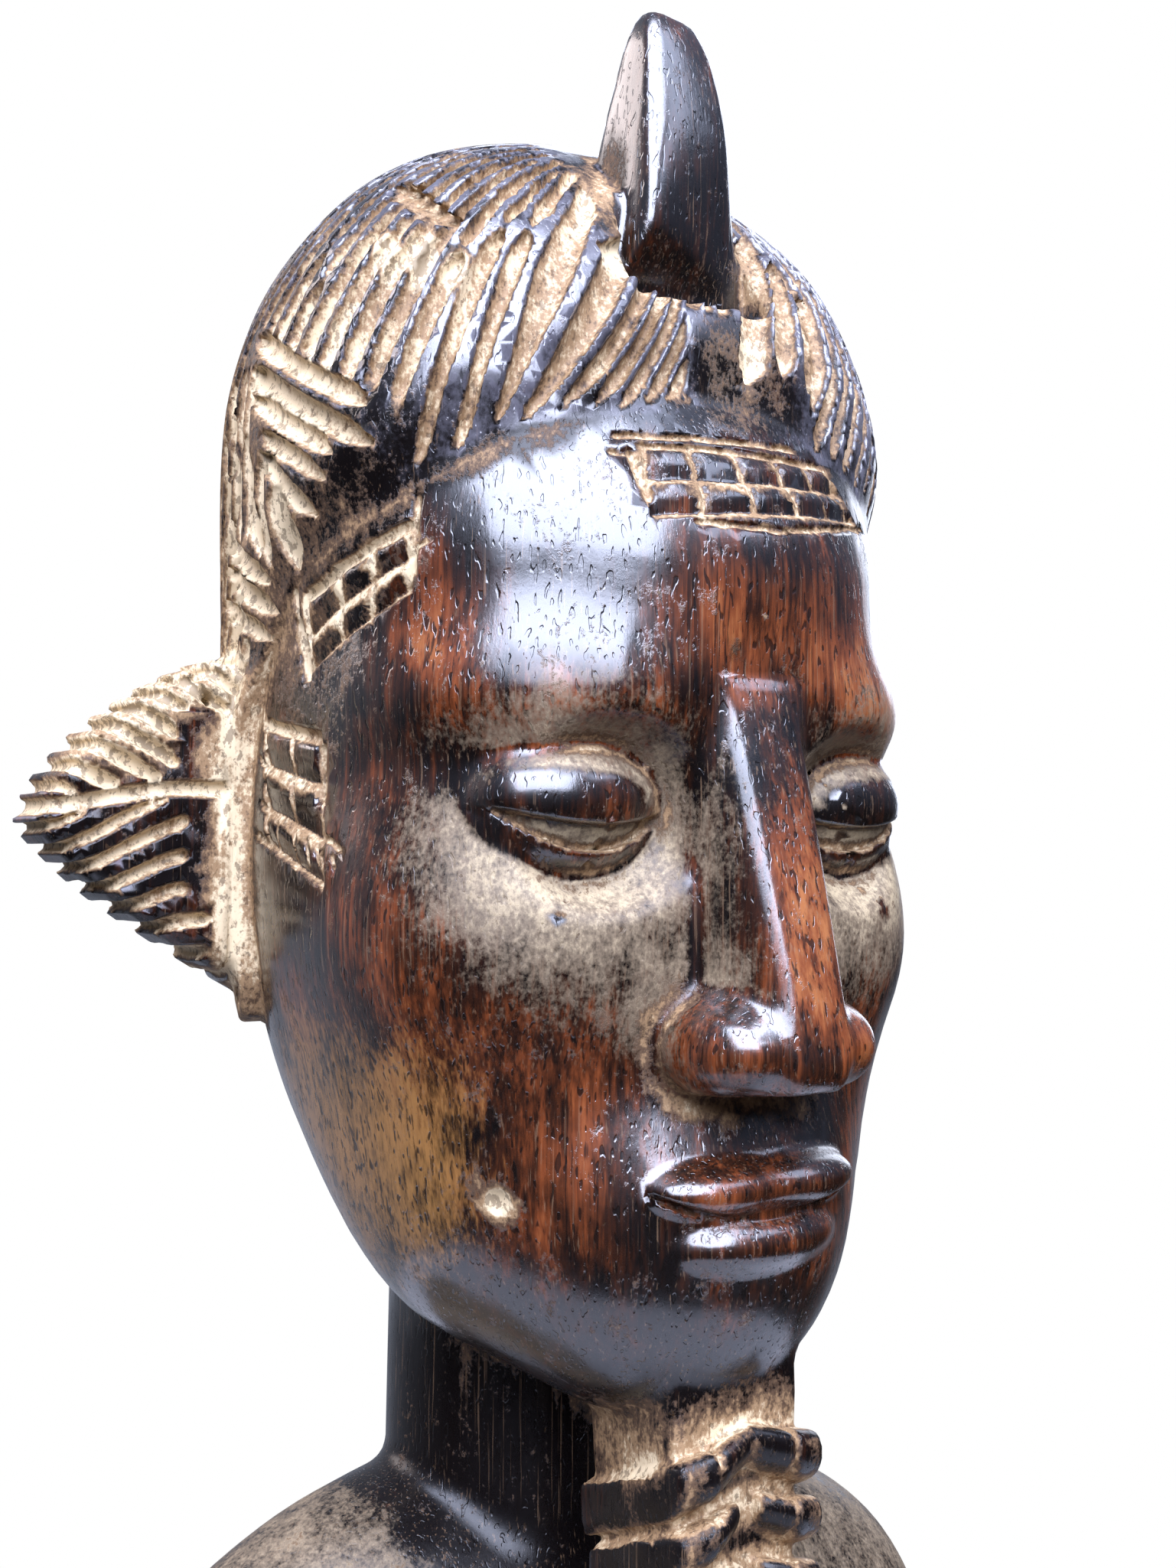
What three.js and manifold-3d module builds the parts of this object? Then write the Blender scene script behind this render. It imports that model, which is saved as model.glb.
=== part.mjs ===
// Baule style figure as a bust: head with topknot, side lobes and plaited beard, on its neck and shoulders.
// It is carved from one block of wood, so it is one solid.
// Millimetres, +Z up. The flat cut lies on Z = 0, the face looks along -Y and the figure's left is +X.

import * as THREE from "three";
import { ConvexGeometry } from "three/addons/geometries/ConvexGeometry.js";
import { mergeVertices } from "three/addons/utils/BufferGeometryUtils.js";
import Module from "manifold-3d";

const wasm = await Module();
wasm.setup();

// Driving dimensions
const chinHeight = 71; // chin above the flat cut
const faceThird = 32.7; // chin to nose base, nose base to brow, brow to hairline
const hairThickness = 2.6; // how far the hair stands above the skin
const hairGroove = 1.3; // depth of the cuts between the locks
const lockCount = 40; // locks round the head
const polarTilt = 20; // degrees that the locks' meeting point leans forward of the crown
const neckRadius = 14;
const neckCentre = 8; // how far the neck's axis lies behind the head's
const markHeight = 0.8; // how far the small scar cells stand out
const topknotTop = 209;
const lobeReach = 54.5; // tip of a side lobe from the midline
const beardBottom = 38;
const strandPitch = 5.8; // from one strand of the plaited beard to the next
const barPitch = 3.7; // from one bar of the temple plait to the next

// Heights that follow from them
const noseBase = chinHeight + faceThird;
const browHeight = noseBase + faceThird;
const hairline = browHeight + faceThird;
const eyeLine = browHeight - faceThird * 0.2;
const mouthLine = noseBase - faceThird / 3;

// A form is an ellipsoid of the carving: its centre and its three radii.
const form = (x, y, z, rx, ry, rz) => ({ centre: [x, y, z], radii: [rx, ry, rz] });
const pair = (x, y, z, rx, ry, rz) => [form(-x, y, z, rx, ry, rz), form(x, y, z, rx, ry, rz)];

const skullForms = [
  form(0, 4.5, 166, 32, 28.5, 33.5), // crown
  ...pair(13, -5, 162, 18.5, 19.5, 29), // upper temples
  form(0, 12, 148, 28, 22.5, 36), // back of the head
  ...pair(17.5, 3, 128, 15.6, 17, 38), // sides of the head, under the lobes
];

const faceForms = [
  form(0, -8, 150, 30, 26, 22), // forehead
  ...pair(12, -14, browHeight + 2.5, 16.5, 18, 8), // brow
  form(0, -5, 122, 31, 27, 46), // the long oval of the face
  ...pair(16, -13, 117, 15.5, 16, 17), // cheekbones
  ...pair(13, -9, 97, 14.5, 17, 19), // jaw
  form(0, -21.5, mouthLine, 17, 12.5, 13), // round of the mouth
  form(0, -18, chinHeight + 14, 16.5, 14, 14), // chin
];

const trunkForms = [
  form(0, neckCentre, 24.5, 54, 22, 38), // slope of the shoulders
  form(0, neckCentre, 0, 36, 24, 48), // chest
  ...pair(38, neckCentre, 27, 18, 17.5, 20.5), // shoulders
  ...pair(42.5, neckCentre - 1, -2, 13.2, 15.5, 42), // upper arms
];

// Signed distance to one form, near enough to blend with.
function formDistance(point, { centre, radii }) {
  const scaled = point.map((value, i) => (value - centre[i]) / radii[i]);
  const near = Math.hypot(...scaled);
  const slope = Math.hypot(...scaled.map((value, i) => value / radii[i]));
  return slope > 0 ? (near * (near - 1)) / slope : -Math.min(...radii);
}

// Distance to several forms that flow into one another over the given width.
function blended(point, forms, width) {
  return forms.reduce((total, one) => {
    const next = formDistance(point, one);
    const overlap = Math.max(width - Math.abs(total - next), 0) / width;
    return Math.min(total, next) - (overlap * overlap * width) / 4;
  }, 1000);
}

const headField = (point) => blended(point, [...skullForms, ...faceForms], 7);
const hairField = (point) => blended(point, skullForms, 7) - hairThickness;
const trunkField = (point) => blended(point, trunkForms, 6);

// The outermost point of a field's surface, seen from a centre in one direction.
function surfacePoint(field, centre, direction) {
  const at = (reach) => centre.map((value, i) => value + direction[i] * reach);
  let outside = 110;
  while (outside > 1 && field(at(outside - 2)) > 0) outside -= 2;
  let inside = outside - 2;
  for (let step = 0; step < 24; step += 1) {
    const middle = (inside + outside) / 2;
    if (field(at(middle)) > 0) outside = middle;
    else inside = middle;
  }
  return at(inside);
}

// A sphere's net drawn onto the surface of a field. The stretch crowds its columns towards the sides,
// the pole leans forward by the tilt, and sink says how deep each of its points is cut.
function wrapped(field, centre, columns, rows, { stretch = 1, tilt = 0, sink = () => 0 }) {
  const sphere = new THREE.SphereGeometry(1, columns, rows);
  const { position } = sphere.attributes;
  const turn = new THREE.Matrix4().makeRotationX(Math.PI / 2 + THREE.MathUtils.degToRad(tilt));
  for (let i = 0; i < position.count; i += 1) {
    const direction = new THREE.Vector3().fromBufferAttribute(position, i).applyMatrix4(turn);
    direction.setX(direction.x * stretch).normalize();
    const point = surfacePoint(field, centre, direction.toArray());
    const atPole = i <= columns || i >= (columns + 1) * rows;
    const depth = atPole ? 0 : sink(point, i % (columns + 1));
    const moved = new THREE.Vector3(...point).addScaledVector(direction, -depth);
    position.setXYZ(i, moved.x, moved.y, moved.z);
  }
  return sphere;
}

// Solids
function solid(geometry) {
  const bare = new THREE.BufferGeometry();
  bare.setAttribute("position", geometry.getAttribute("position").clone());
  if (geometry.index) bare.setIndex(geometry.index.clone());
  const merged = mergeVertices(bare, 1e-4);
  const triangles = [];
  const corners = Array.from(merged.index.array);
  for (let i = 0; i < corners.length; i += 3) {
    const [a, b, c] = corners.slice(i, i + 3);
    if (a !== b && b !== c && c !== a) triangles.push(a, b, c);
  }
  const vertProperties = new Float32Array(merged.attributes.position.array);
  const triVerts = new Uint32Array(triangles);
  return new wasm.Manifold(new wasm.Mesh({ numProp: 3, vertProperties, triVerts }));
}

function meshGeometry(body) {
  const { vertProperties, triVerts } = body.getMesh();
  const geometry = new THREE.BufferGeometry();
  geometry.setAttribute("position", new THREE.Float32BufferAttribute(vertProperties, 3));
  geometry.setIndex(new THREE.Uint32BufferAttribute(triVerts, 1));
  geometry.computeVertexNormals();
  return geometry;
}

const joined = (bodies) => bodies.reduce((whole, body) => whole.add(body));
const hull = (points) => solid(new ConvexGeometry(points.map((point) => new THREE.Vector3(...point))));

function egg({ centre, radii }, columns = 14, rows = 10) {
  const sphere = new THREE.SphereGeometry(1, columns, rows);
  sphere.rotateX(Math.PI / 2).scale(...radii).translate(...centre);
  return solid(sphere);
}

function block(width, depth, height, x, y, z) {
  return solid(new THREE.BoxGeometry(width, depth, height).translate(x, y, z));
}

// An outline drawn in a plane and carried along the third axis, to both sides of the plane.
function slab(outline, length, axes) {
  const geometry = new THREE.ExtrudeGeometry(outline, { depth: length, bevelEnabled: false, curveSegments: 10 });
  geometry.translate(0, 0, -length / 2);
  return solid(geometry.applyMatrix4(new THREE.Matrix4().makeBasis(...axes)));
}

const sideView = [new THREE.Vector3(0, 1, 0), new THREE.Vector3(0, 0, 1), new THREE.Vector3(1, 0, 0)];

// Head under the hair
const headCentre = [0, -2, 130];

function skinPoint(azimuth, height) {
  const angle = THREE.MathUtils.degToRad(azimuth);
  return surfacePoint(headField, [0, 0, height], [Math.sin(angle), -Math.cos(angle), 0]);
}

function skinNormal(point) {
  const slope = [0, 1, 2].map((axis) => {
    const ahead = point.map((value, i) => value + (i === axis ? 0.5 : 0));
    return headField(ahead) - headField(point);
  });
  return new THREE.Vector3(...slope).normalize();
}

// Eyes: a hollow under the brow, a lowered upper lid, and the ball's lower edge showing under it.
const eyeOffset = 15.5;
const eyeDepth = -23.4;
const lidGap = 1.6; // the upper lid's edge, below the eye line
const lowerRim = 4.2; // the lower lid's edge, below the eye line

function socket(side) {
  return egg(form(side * (eyeOffset + 1.5), -39.2, eyeLine - 1.8, 14.8, 14, 11), 20, 12);
}

function eye(side) {
  const lid = egg(form(side * eyeOffset, eyeDepth, eyeLine, 9.6, 7.4, 6.2), 16, 10);
  const below = block(24, 20, 10, side * eyeOffset, eyeDepth - 8, eyeLine - lidGap - 5);
  const ball = egg(form(side * eyeOffset, eyeDepth, eyeLine - 0.8, 8.6, 6.2, 5.2), 12, 8);
  const rim = egg(form(side * eyeOffset, eyeDepth + 0.4, eyeLine - 1.2, 9.4, 6.6, 6.6), 14, 8);
  const above = block(24, 20, 10, side * eyeOffset, eyeDepth - 8, eyeLine - lowerRim + 5);
  return joined([lid.subtract(below), ball, rim.subtract(above)]);
}

// Nose: a long flat ridge from the brow, two rounded wings and a level base.
function nose() {
  const ridge = [
    { height: browHeight + 4, half: 4.4, front: -33.6 },
    { height: browHeight - 5, half: 2.6, front: -35 },
    { height: noseBase + 7, half: 3, front: -41.6 },
    { height: noseBase + 2, half: 3.8, front: -42.4 },
    { height: noseBase, half: 3.4, front: -40.6 },
  ];
  const points = ridge.flatMap(({ height, half, front }) => [
    [-half, front, height],
    [half, front, height],
    [-half - 3.4, -26, height],
    [half + 3.4, -26, height],
  ]);
  const wings = pair(5.8, -34.6, noseBase + 4.2, 4.6, 5.6, 4.4).map((wing) => egg(wing, 12, 6));
  return joined([hull(points), ...wings]);
}

// Mouth: two full lips that meet in a level line.
function mouth() {
  const upper = pair(4.2, -31, mouthLine + 2.4, 7.6, 4.6, 2.9).map((lip) => egg(lip, 12, 6));
  const lower = egg(form(0, -30.8, mouthLine - 2.5, 9.6, 4.8, 3.2), 12, 6);
  return joined([...upper, lower]);
}

// Scar marks: rows of small raised cells inside four corners, each an azimuth and a height.
function scarCells(corners, rows, columns) {
  const [topLeft, topRight, bottomRight, bottomLeft] = corners;
  const mix = (a, b, share) => a + (b - a) * share;
  const place = (across, down) => [0, 1].map((i) => {
    return mix(mix(topLeft[i], topRight[i], across), mix(bottomLeft[i], bottomRight[i], across), down);
  });
  const cells = [];
  for (let row = 0; row < rows; row += 1) {
    for (let column = 0; column < columns; column += 1) {
      const points = [];
      for (const [margin, lift] of [[0.06, -1], [0.2, markHeight]]) {
        for (const [across, down] of [[0, 0], [1, 0], [1, 1], [0, 1]]) {
          const u = (column + margin + across * (1 - 2 * margin)) / columns;
          const v = (row + margin + down * (1 - 2 * margin)) / rows;
          const skin = skinPoint(...place(u, v));
          points.push(new THREE.Vector3(...skin).addScaledVector(skinNormal(skin), lift).toArray());
        }
      }
      cells.push(hull(points));
    }
  }
  return joined(cells);
}

const mirrored = (corners) => corners.map(([azimuth, height]) => [-azimuth, height]);

function scarMarks() {
  const forehead = [[-20.3, 162.2], [26.5, 163.6], [33, 158.6], [-18.8, 155.3]];
  const temple = [[-80.8, 149.2], [-56.4, 154.7], [-57.5, 148.7], [-80.2, 142.4]];
  const cheek = [[-94.6, 137.7], [-76.8, 135.8], [-73.3, 122.3], [-90.5, 126]];
  const sides = [[temple, 2, 3], [cheek, 3, 2]];
  return joined([
    scarCells(forehead, 2, 5),
    ...sides.flatMap(([corners, rows, columns]) => [
      scarCells(corners, rows, columns),
      scarCells(mirrored(corners), rows, columns),
    ]),
  ]);
}

// Hair: a cap with a crisp edge, cut into locks that run up to the topknot.
const hairEdge = [
  [-34, hairline + 1],
  [-28.2, hairline - 0.8],
  [-26.6, 165],
  [-20, 159.2],
  [-12, 154.6],
  [-4, 151],
  [1.5, 145],
  [4.5, 139],
  [5.5, 132],
];
const napeHeight = 108;

function hairOutline() {
  const outline = new THREE.Shape();
  outline.moveTo(-60, 240);
  outline.lineTo(-60, hairline);
  outline.lineTo(...hairEdge[0]);
  outline.splineThru(hairEdge.slice(1).map(([y, z]) => new THREE.Vector2(y, z)));
  outline.lineTo(5.5, napeHeight + 4);
  outline.quadraticCurveTo(5.5, napeHeight, 10, napeHeight);
  outline.lineTo(60, napeHeight);
  outline.lineTo(60, 240);
  outline.closePath();
  return outline;
}

// Height of the hair's front edge above a point, so that the cuts stop short of it.
function edgeHeight(y) {
  const next = hairEdge.findIndex(([edge]) => edge > y);
  if (next < 1) return next === 0 ? hairline : napeHeight;
  const [[y0, z0], [y1, z1]] = [hairEdge[next - 1], hairEdge[next]];
  return z0 + ((z1 - z0) * (y - y0)) / (y1 - y0);
}

// The temple plait lies under this line, which falls towards the face.
const plaitTop = (y) => 174.3 + y * 0.54;
const inTemplePlait = (x, y, z) => Math.abs(x) > 22 && y > -19 && y < 5 && z < plaitTop(y) + 1;

function lockDepth([x, y, z], column) {
  if (column % 2 === 0 || inTemplePlait(x, y, z)) return 0;
  const nearTopknot = Math.hypot(x, y + 18, z - 190) < 12;
  const nearEdge = z < edgeHeight(y) + 3.5;
  return nearTopknot || nearEdge ? 0 : hairGroove;
}

function templeBars(side) {
  const bars = [];
  for (let bar = 0; bar < 5; bar += 1) {
    const rear = 4 - bar * 1.4;
    const front = -15 + Math.max(bar - 1, 0) * 2.3;
    const middle = (rear + front) / 2;
    const cut = new THREE.Shape([[-1, 0], [0, -1], [1, 0], [0, 1]].map(([a, b]) => new THREE.Vector2(a, b)));
    const length = Math.hypot(rear - front, (rear - front) * 0.54);
    const geometry = new THREE.ExtrudeGeometry(cut, { depth: length, bevelEnabled: false });
    geometry.translate(0, 0, -length / 2).scale(2.4, 1.1, 1).rotateX(Math.PI / 2 + Math.atan(0.54));
    const height = plaitTop(middle) - bar * barPitch;
    const start = surfacePoint(hairField, [0, middle, height], [side, 0, 0]);
    const slant = Math.atan2(start[1] - 5, Math.abs(start[0])) * side;
    geometry.rotateZ(slant * 0.9).translate(start[0], start[1], start[2]);
    bars.push(solid(geometry));
  }
  return joined(bars);
}

function hair() {
  const cap = solid(wrapped(hairField, [0, 4, 160], lockCount * 2, 12, { tilt: polarTilt, sink: lockDepth }));
  const region = slab(hairOutline(), 120, sideView);
  return cap.intersect(region).subtract(templeBars(-1)).subtract(templeBars(1));
}

// Topknot: a faceted lug on a stem. Its front ends in a beak that points down on the figure's right.
const beakHeight = 185.8;
const ledgeHeight = 178.6;

function topknot() {
  const lugSections = [
    { height: topknotTop, half: 2.4, front: -20.6, back: -18 },
    { height: topknotTop - 3, half: 4, front: -21.8, back: -17 },
    { height: 198, half: 5.4, front: -23.2, back: -15 },
  ];
  const lug = lugSections.flatMap(({ height, half, front, back }) => [
    [-half, back, height],
    [half, back, height],
    [half, front + 0.4, height],
    [-half, front + half * 0.44, height],
    [-half / 2, front, height],
  ]);
  const foot = [
    [-3.4, -25.6, beakHeight],
    [6.4, -22.8, beakHeight + 8.6],
    [7.2, -20.2, ledgeHeight + 3.2],
    [7.2, -12, ledgeHeight + 3.2],
    [-7.7, -20.4, ledgeHeight + 0.6],
    [-7.7, -12, ledgeHeight + 0.6],
  ];
  return hull([...lug, ...foot]).add(block(15.4, 13, 22, -0.3, -14, ledgeHeight));
}

// The shaded notch under the beak, with the level ledge of hair below it.
function notch() {
  return block(15.6, 20, 11, 0, -30.6, ledgeHeight + 5.5);
}

// Side lobes: flat leaf shapes at the place of the ears, cut with strands that meet in a middle rib.
const lobeRib = 131;
const lobeStrandPitch = 3.4;

function lobe(side) {
  const outline = new THREE.Path();
  outline.moveTo(20, 148);
  outline.quadraticCurveTo(38, 146.5, 48.2, 137.1);
  outline.quadraticCurveTo(lobeReach, 131, lobeReach - 0.8, 127.5);
  outline.quadraticCurveTo(46, 118, 22, 106);
  const middle = new THREE.Vector2(34, lobeRib - 3);
  const leaf = (inset) => hull(outline.getPoints(3).flatMap((point) => {
    const rim = point.clone().lerp(middle, inset / point.distanceTo(middle));
    const face = point.clone().lerp(middle, (inset + 2.4) / point.distanceTo(middle));
    return [
      [side * rim.x, 11, rim.y],
      [side * face.x, 5.5 + inset, face.y],
      [side * face.x, 16.5 - inset, face.y],
    ];
  }));
  const strands = [];
  for (const { up, slope, count } of [{ up: -1, slope: 0.42, count: 5 }, { up: 1, slope: 0.72, count: 4 }]) {
    const angle = Math.atan(slope);
    for (let strand = 0; strand < count; strand += 1) {
      const bar = new THREE.BoxGeometry(40, 16, 2).translate(20, 0, 0).rotateY(-up * angle);
      const start = lobeReach - 5 - strand * lobeStrandPitch / Math.sin(angle);
      bar.translate(start, 11, lobeRib + up * 1.6);
      strands.push(solid(side > 0 ? bar : bar.rotateZ(Math.PI).translate(0, 22, 0)));
    }
  }
  return leaf(1).add(leaf(0).intersect(joined(strands)));
}

// Beard: a hanging plait of strands that fall outward and back from its middle line.
const frontSlope = 0.3; // how steeply a strand falls across the front
const sideSlope = 0.42; // and along the side
const beardBack = -15.6; // the back of its top strand
const backStep = 1.45; // how much further forward each next strand ends
const strandRows = [0, 1, 2, 3, 4];

function strand(side, row) {
  const middle = chinHeight + 0.4 - row * strandPitch;
  const back = beardBack - row * backStep;
  const points = [];
  for (const [x, front, half] of [[1.35 + side * 0.85, -31, 1.6], [4.6, -32.4, 2.1], [9.9, -30.4, 1.8]]) {
    for (const [y, share] of [[front, 0.5], [front + 1.4, 1], [back, 1]]) {
      const height = middle - x * frontSlope - (y - front) * sideSlope;
      points.push([side * x, y, height + half * share], [side * x, y, height - half * share]);
    }
  }
  return hull(points);
}

function beard() {
  const core = hull([-1, 1].flatMap((side) => [
    [side * 8.4, -29.8, chinHeight + 8],
    [side * 8.4, -14.5, chinHeight + 8],
    [side * 8.4, -15.8, chinHeight - 5],
    [side * 8, -28.8, beardBottom + 4],
    [side * 8, -20.6, beardBottom + 4],
    [side * 4, -27.6, beardBottom],
    [side * 4, -22.6, beardBottom],
  ]));
  return joined([core, ...strandRows.flatMap((row) => [strand(-1, row), strand(1, row)])]);
}

function neck() {
  const column = new THREE.CylinderGeometry(neckRadius - 0.5, neckRadius + 0.8, 80, 26).rotateX(Math.PI / 2);
  return solid(column.translate(0, neckCentre, 80));
}

function trunk() {
  const shoulders = solid(wrapped(trunkField, [0, neckCentre, 4], 28, 14, { stretch: 2 }));
  return shoulders.intersect(block(200, 200, 200, 0, 0, 100));
}

function head() {
  const skin = solid(wrapped(headField, headCentre, 38, 25, {}));
  return joined([
    skin.subtract(socket(-1)).subtract(socket(1)),
    eye(-1),
    eye(1),
    nose(),
    mouth(),
    scarMarks(),
  ]);
}

const crown = hair().subtract(notch()).add(topknot());
const bust = joined([head().subtract(notch()), crown, lobe(-1), lobe(1), neck(), trunk(), beard()]);

const wood = new THREE.MeshStandardMaterial({ color: "#3a2118", roughness: 0.45, metalness: 0 });
const carvedBust = new THREE.Mesh(meshGeometry(bust), wood);
carvedBust.name = "carved_bust";

const figure = new THREE.Group();
figure.add(carvedBust);

export default figure;
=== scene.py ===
import math

import bmesh
import bpy
import numpy as np
import openvdb
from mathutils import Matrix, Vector


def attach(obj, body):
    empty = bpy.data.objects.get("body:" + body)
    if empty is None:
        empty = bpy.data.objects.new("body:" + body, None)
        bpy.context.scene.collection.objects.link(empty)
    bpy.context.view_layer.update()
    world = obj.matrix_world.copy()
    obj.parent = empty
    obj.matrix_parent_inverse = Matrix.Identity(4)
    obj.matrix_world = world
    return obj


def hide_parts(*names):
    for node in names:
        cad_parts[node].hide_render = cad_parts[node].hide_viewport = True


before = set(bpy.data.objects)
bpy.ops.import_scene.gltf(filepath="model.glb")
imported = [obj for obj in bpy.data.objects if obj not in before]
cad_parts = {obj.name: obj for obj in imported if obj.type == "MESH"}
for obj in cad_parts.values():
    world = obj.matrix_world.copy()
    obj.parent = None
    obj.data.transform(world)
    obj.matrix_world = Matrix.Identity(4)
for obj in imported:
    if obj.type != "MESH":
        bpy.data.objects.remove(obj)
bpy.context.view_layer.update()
print("carved bust: frame loaded")

# Lengths in the dictionaries are millimetres in the frame's own axes: +Z up, the face looks along -Y.
metresPerMm = 0.001


def show(name, data):
    thing = bpy.data.objects.new(name, data)
    bpy.context.scene.collection.objects.link(thing)
    return thing


# camera
view = {
    "distance": 178.0,  # from the bust's upright axis
    "side": -34.0,      # degrees round from straight ahead, towards the figure's right
    "height": 125.0,
    "turn": -1.04,      # degrees the lens looks past the axis
    "lift": 2.45,       # degrees it looks upwards
    "lens": 37.8,
    "sensor": 36.0,     # its longer side, which is the picture's height
}


def placeCamera(spec):
    side = math.radians(spec["side"])
    place = Vector((math.sin(side), -math.cos(side), 0)) * spec["distance"]
    place.z = spec["height"]
    heading = math.atan2(-place.y, -place.x) + math.radians(spec["turn"])
    lift = math.radians(spec["lift"])
    level = math.cos(lift)
    forward = Vector((math.cos(heading) * level, math.sin(heading) * level, math.sin(lift)))
    data = bpy.data.cameras.new("viewCamera")
    data.lens = spec["lens"]
    data.sensor_width = spec["sensor"]
    data.clip_start = 0.005
    data.clip_end = 50
    camera = show("viewCamera", data)
    camera.location = place * metresPerMm
    camera.rotation_euler = forward.to_track_quat("-Z", "Y").to_euler()
    bpy.context.scene.camera = camera


placeCamera(view)

# carving tools
# A solid is a field: negative inside the wood, positive outside, in mm. p holds many points' x, y and z.
grainCells = 48
grain = np.random.default_rng(11).random((grainCells,) * 3, dtype=np.float32) * 2 - 1


def rough(p, size, seed=0):  # smooth chance values from -1 to 1 that change over about that size
    sizes = size if isinstance(size, tuple) else (size, size, size)
    cells, parts = [], []
    for axis in range(3):
        q = p[axis] / sizes[axis] + 200 + seed * 7.31
        cell = np.floor(q)
        part = q - cell
        cells.append(cell.astype(np.int32) % grainCells)
        parts.append(part * part * (3 - 2 * part))
    total = 0
    for corner in range(8):
        picks, weight = [], 1
        for axis in range(3):
            far = corner >> axis & 1
            picks.append((cells[axis] + far) % grainCells)
            weight = weight * (parts[axis] if far else 1 - parts[axis])
        total = total + weight * grain[picks[0], picks[1], picks[2]]
    return total


def zeros(p):
    return np.zeros(p.shape[1], np.float32)


def ramp(value, start, end):  # 0 before start, 1 after end, smooth between
    t = np.clip((value - start) / (end - start), 0, 1)
    return t * t * (3 - 2 * t)


def meld(a, b, width):  # both solids, flowing together over that width
    return np.minimum(a, b) - np.maximum(width - np.abs(a - b), 0) ** 2 / (4 * width)


def overlap(a, b, width):
    return -meld(-a, -b, width)


def carve(a, b, width):  # a with b cut out of it
    return -meld(-a, b, width)


def egg(p, form):
    centre, radii = form[:3], form[3:]
    scaled = [(p[i] - centre[i]) / radii[i] for i in range(3)]
    share = np.sqrt(sum(s * s for s in scaled)) + 1e-6
    slope = np.sqrt(sum((s / r) ** 2 for s, r in zip(scaled, radii))) + 1e-6
    return share * (share - 1) / slope


def pair(x, *rest):
    return [(-x, *rest), (x, *rest)]


def eggs(p, forms, width):
    total = egg(p, forms[0])
    for form in forms[1:]:
        total = meld(total, egg(p, form), width)
    return total


def hullPlanes(points):
    shell = bmesh.new()
    for point in points:
        shell.verts.new(point)
    bmesh.ops.convex_hull(shell, input=shell.verts[:])
    shell.normal_update()
    middle = sum((Vector(point) for point in points), Vector()) / len(points)
    planes = []
    for side in shell.faces:
        normal = side.normal.copy()
        reach = normal.dot(side.verts[0].co)
        if normal.dot(middle) > reach:
            normal, reach = -normal, -reach
        plane = np.array((*normal, reach), np.float32)
        if normal.length > 0.5 and all(np.abs(plane - other).max() > 0.01 for other in planes):
            planes.append(plane)
    shell.free()
    return planes


def hull(p, planes, softness):  # a flat-sided block whose edges are worn by the softness
    sides = np.stack([a * p[0] + b * p[1] + c * p[2] - d for a, b, c, d in planes])
    top = sides.max(0)
    return top + softness * np.log(np.exp((sides - top) / softness).sum(0))


def near(p, low, high, make, reach=5.0):  # works out a solid only close to the box that holds it
    inside = np.ones(p.shape[1], bool)
    for axis in range(3):
        inside &= (p[axis] > low[axis] - reach) & (p[axis] < high[axis] + reach)
    result = np.full(p.shape[1], reach, np.float32)
    if inside.any():
        result[inside] = np.minimum(make(p[:, inside]), reach)
    return result


def groove(across, halfWidth, depth):  # a gouge's round-bottomed cut, by the distance from its middle
    share = np.clip(np.abs(across) / np.maximum(halfWidth, 0.02), 0, 1)
    return depth * np.sqrt(1 - share * share) * ramp(halfWidth, 0.05, 0.5)


# head
face = {
    "chinHeight": 71.0,
    "third": 32.7,        # chin to nose base, nose base to brow, brow to hairline
    "eyeOffset": 15.5,
    "eyeDepth": -23.4,
    "lidGap": 2.2,        # edge of the lowered lid, below the eye line
    "slit": 2.4,          # height of the opening under it
    "browSharpness": 1.1,
    "blend": 7.0,         # how softly the forms of the head flow together
    "noseRoot": -26.0,    # Y where the nose's sides meet the cheeks
    "noseFlare": 3.4,     # how much wider each side is there
}
face["noseBase"] = face["chinHeight"] + face["third"]
face["brow"] = face["noseBase"] + face["third"]
face["hairline"] = face["brow"] + face["third"]
face["eyeLine"] = face["brow"] - face["third"] * 0.2
face["mouthLine"] = face["noseBase"] - face["third"] / 3

skullForms = [
    (0, 4.5, 166, 32, 28.5, 33.5),
    *pair(13, -5, 162, 18.5, 19.5, 29),
    (0, 12, 148, 28, 22.5, 36),
    *pair(17.5, 3, 128, 15.6, 17, 38),
]
faceForms = [
    (0, -8, 150, 30, 26, 22),
    *pair(12, -14, face["brow"] + 2.5, 16.5, 18, 8),
    (0, -5, 122, 31, 27, 46),
    *pair(16, -13, 117, 15.5, 16, 17),
    *pair(13, -9, 97, 14.5, 17, 19),
    (0, -21.5, face["mouthLine"], 17, 12.5, 13),
    (0, -18, face["chinHeight"] + 14, 16.5, 14, 14),
]
noseRidge = [
    (face["brow"] + 4, 4.4, -33.6),
    (face["brow"] - 5, 2.6, -35),
    (face["noseBase"] + 7, 3, -41.6),
    (face["noseBase"] + 2, 3.8, -42.2),
    (face["noseBase"], 3.4, -40.6),
]
nosePlanes = hullPlanes([
    (side * (half + flare), y, height)
    for height, half, front in noseRidge
    for flare, y in [(0, front), (face["noseFlare"], face["noseRoot"])]
    for side in (-1, 1)
])


def skullField(p):
    return eggs(p, skullForms, face["blend"])


# how far back and up from the eye's middle each form lies, then its radii
eyeForms = {
    "lid": (0, 0, 9.8, 7.5, 6.4),
    "ball": (0, -0.8, 8.8, 6.1, 5.2),
    "rim": (0.3, -1.4, 9.6, 6.7, 6.6),
}
eyeHalfWidth = 9.2
lidBow = 1.5    # how far the lid's edge rises towards the corners, and the lower rim's
rimBow = 3.7


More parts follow.
